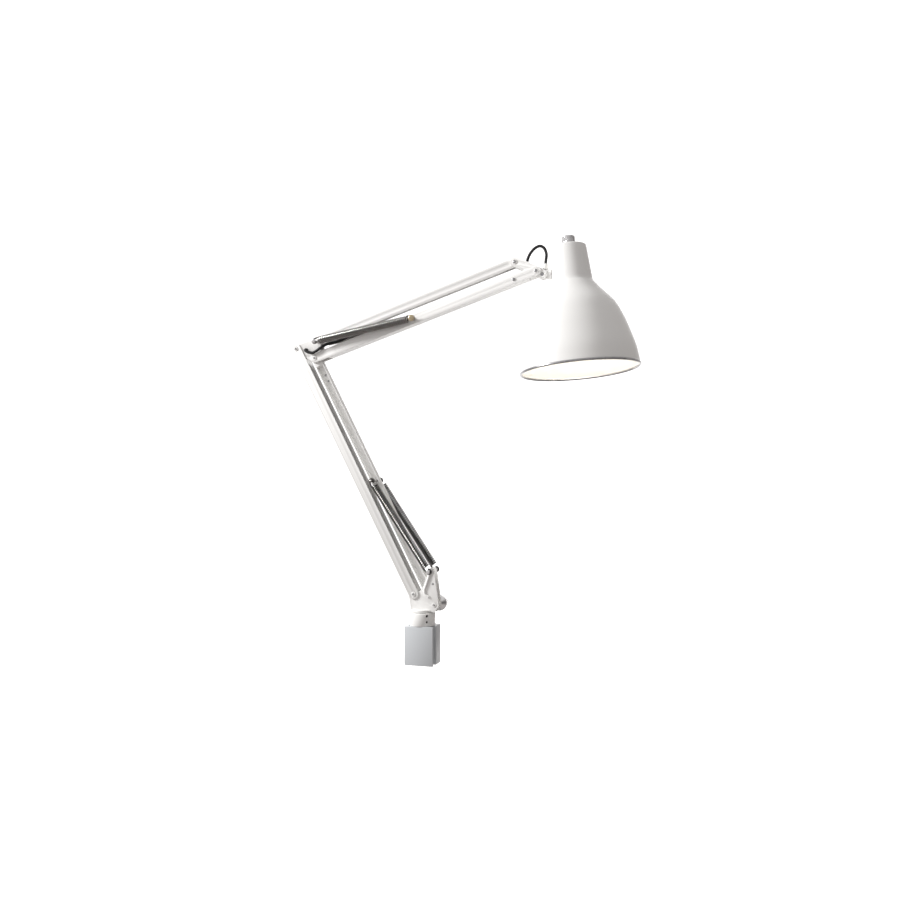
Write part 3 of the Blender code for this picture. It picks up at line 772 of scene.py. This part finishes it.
class LAMP_OT_knobs(LampOperator, bpy.types.Operator):
    """Turn the domed switch knob and the fluted friction knob"""

    bl_idname = "lamp.knobs"
    bl_label = "Knobs"

    def execute(self, context):
        """Both are turned profiles.  The switch knob's top is a flattened dome and its skirt is
        knurled; the friction knob's side is cut by flutes.  Knurls and flutes lower the radius
        by a cosine of the angle on the rows of the profile that they cover."""
        top, up = pivot("switch_turn"), direction("switch_turn")
        turn = np.linspace(0, np.pi / 2, 14)
        dome = np.stack([13.4 + 2.7 * np.sin(turn), 9.7 * np.cos(turn) ** 0.55], -1)
        profile = [(0.5, 0), (0.5, 8.6), (0.9, 9.3), (1.8, 9.3), (2.2, 8.7), (3.0, 8.7), (3.4, 9.55),
                   (3.8, 9.7), (12.6, 9.7)] + dome.tolist()[:-1] + [(16.1, 0.0)]

        def knurl(angle, row):
            return 1 - 0.012 * (1 + np.cos(60 * angle)) * ((row >= 7) & (row <= 8))

        shape = lathe(np.array(profile) * MM, top, up, 360, knurl)
        piece("domed_switch_knob", grid_mesh("switch_knob", shape), "switch_knob", "chrome", "switch_knob")

        centre = pivot("friction_knob_turn")
        start = box("friction_knob")[0][1] / MM
        profile = [(start, 0), (start, 3.9), (12.4, 3.9), (12.8, 4.5), (15.9, 11.6), (16.2, 12.0),
                   (16.8, 12.3), (17.3, 12.45), (18.4, 12.5), (23, 12.5), (28.6, 12.5), (29.4, 12.2),
                   (30.3, 11.2), (30.8, 10.2), (30.2, 8.8), (30.0, 4.4), (30.6, 3.6), (30.6, 0)]
        count = self.sizes.flutes

        def flutes(angle, row):
            return 1 - 0.03 * np.clip(np.cos(count * angle), 0, 1) * ((row >= 8) & (row <= 10))

        shape = lathe(np.array(profile) * MM, centre, ACROSS, count * 12, flutes)
        piece("fluted_friction_knob", grid_mesh("friction_knob", shape), "friction_knob", "chrome",
              "friction_knob")
        return {"FINISHED"}


class LAMP_OT_carried(LampOperator, bpy.types.Operator):
    """Give every CAD node that still shows its finish"""

    bl_idname = "lamp.carried"
    bl_label = "Carried-over nodes"

    def execute(self, context):
        for name, node in frame["nodes"].items():
            if not node.hide_render:
                node.data.materials.clear()
                node.data.materials.append(finish(SLOT_OF[name]))
        return {"FINISHED"}


class LAMP_OT_stage(LampOperator, bpy.types.Operator):
    """Set the white backdrop, the graded sky, the soft key light and the camera"""

    bl_idname = "lamp.stage"
    bl_label = "Stage"

    def sky(self):
        """The world: a nearly even warm grey that brightens a little towards upper left.  Two
        soft dark panels, ahead and to the right, show in polished parts."""
        sky = Tree(bpy.data.worlds.new("studio"))

        def dot(way):
            return sky.node("ShaderNodeVectorMath", {"operation": "DOT_PRODUCT"},
                            {0: sky.place, 1: way}, "Value")

        fall = sky.node("ShaderNodeClamp", {},
                        {"Value": dot((-0.06, -0.06, 0.16)) + 0.53, "Min": 0.02, "Max": 1.9})
        panels = (sky.ramp(dot((0.50, -0.86, -0.05)), 0.90, 0.985)
                  + sky.ramp(dot((0.97, -0.2, 0.1)), 0.82, 0.95))
        tint = sky.node("ShaderNodeMix", {"data_type": "RGBA"},
                        {0: sky.ramp(fall, 0.45, 0.75), 6: (1.0, 0.935, 0.905, 1), 7: (1, 1, 1, 1)}, 2)
        sky.put(sky.nodes["Background"].inputs["Color"], tint)
        sky.put(sky.nodes["Background"].inputs["Strength"], fall * (1 - 0.8 * panels))
        return sky.owner

    def lamp(self, name, place, target, size, power):
        """A round area light at a place, turned towards its target."""
        data = bpy.data.lights.new(name, "AREA")
        data.shape, data.size, data.energy = "DISK", size, power
        made = bpy.data.objects.new(name, data)
        bpy.context.scene.collection.objects.link(made)
        made.location = place
        made.rotation_euler = (Vector(target) - Vector(place)).to_track_quat("-Z", "Y").to_euler()

    def execute(self, context):
        scene = context.scene
        data = bpy.data.cameras.new("camera")
        data.lens, data.sensor_width, data.clip_start = 40, 36, 0.01
        camera = bpy.data.objects.new("camera", data)
        camera.location = (0.5195, -1.461, 0.331)
        camera.rotation_euler = (np.pi / 2, 0, np.radians(18))
        scene.collection.objects.link(camera)
        scene.camera = camera

        ahead, right = np.array([-0.309, 0.951, 0]), np.array([0.951, 0.309, 0])
        distance, half = 9, 5.5
        centre = np.array(camera.location) + distance * ahead
        corners = [centre + half * (x * right + [0, 0, z]) for x, z in ((-1, -1), (1, -1), (1, 1), (-1, 1))]
        mesh = bpy.data.meshes.new("backdrop")
        mesh.from_pydata([c.tolist() for c in corners], [], [(0, 1, 2, 3)])
        backdrop = bpy.data.objects.new("backdrop", mesh)
        scene.collection.objects.link(backdrop)
        mesh.materials.append(Finish("backdrop").feed(
            Base_Color=(0.9, 0.9, 0.9, 1), Roughness=0.9, Emission_Color=(1, 1, 1, 1),
            Emission_Strength=1.0))

        scene.world = self.sky()
        self.lamp("key", place=(-2.45, -1.2, 1.66), target=(0, 0, 0.4), size=0.8, power=108)
        scene.view_settings.view_transform = "Standard"
        return {"FINISHED"}


class LAMP_PT_panel(bpy.types.Panel):
    """The lamp's makers, in the order in which they run"""

    bl_idname = "LAMP_PT_panel"
    bl_label = "Swing arm lamp"
    bl_space_type = "VIEW_3D"
    bl_region_type = "UI"
    bl_category = "Lamp"

    def draw(self, context):
        for maker in MAKERS:
            self.layout.operator(maker.bl_idname)


MAKERS = (LAMP_OT_stage, LAMP_OT_block, LAMP_OT_fork, LAMP_OT_bars, LAMP_OT_fasteners,
          LAMP_OT_springs, LAMP_OT_flexes, LAMP_OT_shade, LAMP_OT_knobs, LAMP_OT_carried)
CLASSES = (LampSizes, LampColours, *MAKERS, LAMP_PT_panel)


def register():
    """Adds the classes and the scene's two groups of settings."""
    for item in CLASSES:
        bpy.utils.register_class(item)
    bpy.types.Scene.lamp_sizes = PointerProperty(type=LampSizes)
    bpy.types.Scene.lamp_colours = PointerProperty(type=LampColours)


def unregister():
    """Takes away what register added."""
    del bpy.types.Scene.lamp_sizes, bpy.types.Scene.lamp_colours
    for item in reversed(CLASSES):
        bpy.utils.unregister_class(item)


def main():
    """Runs every maker in order."""
    register()
    for maker in MAKERS:
        group, name = maker.bl_idname.split(".")
        getattr(getattr(bpy.ops, group), name)()


if __name__ == "__main__":
    main()
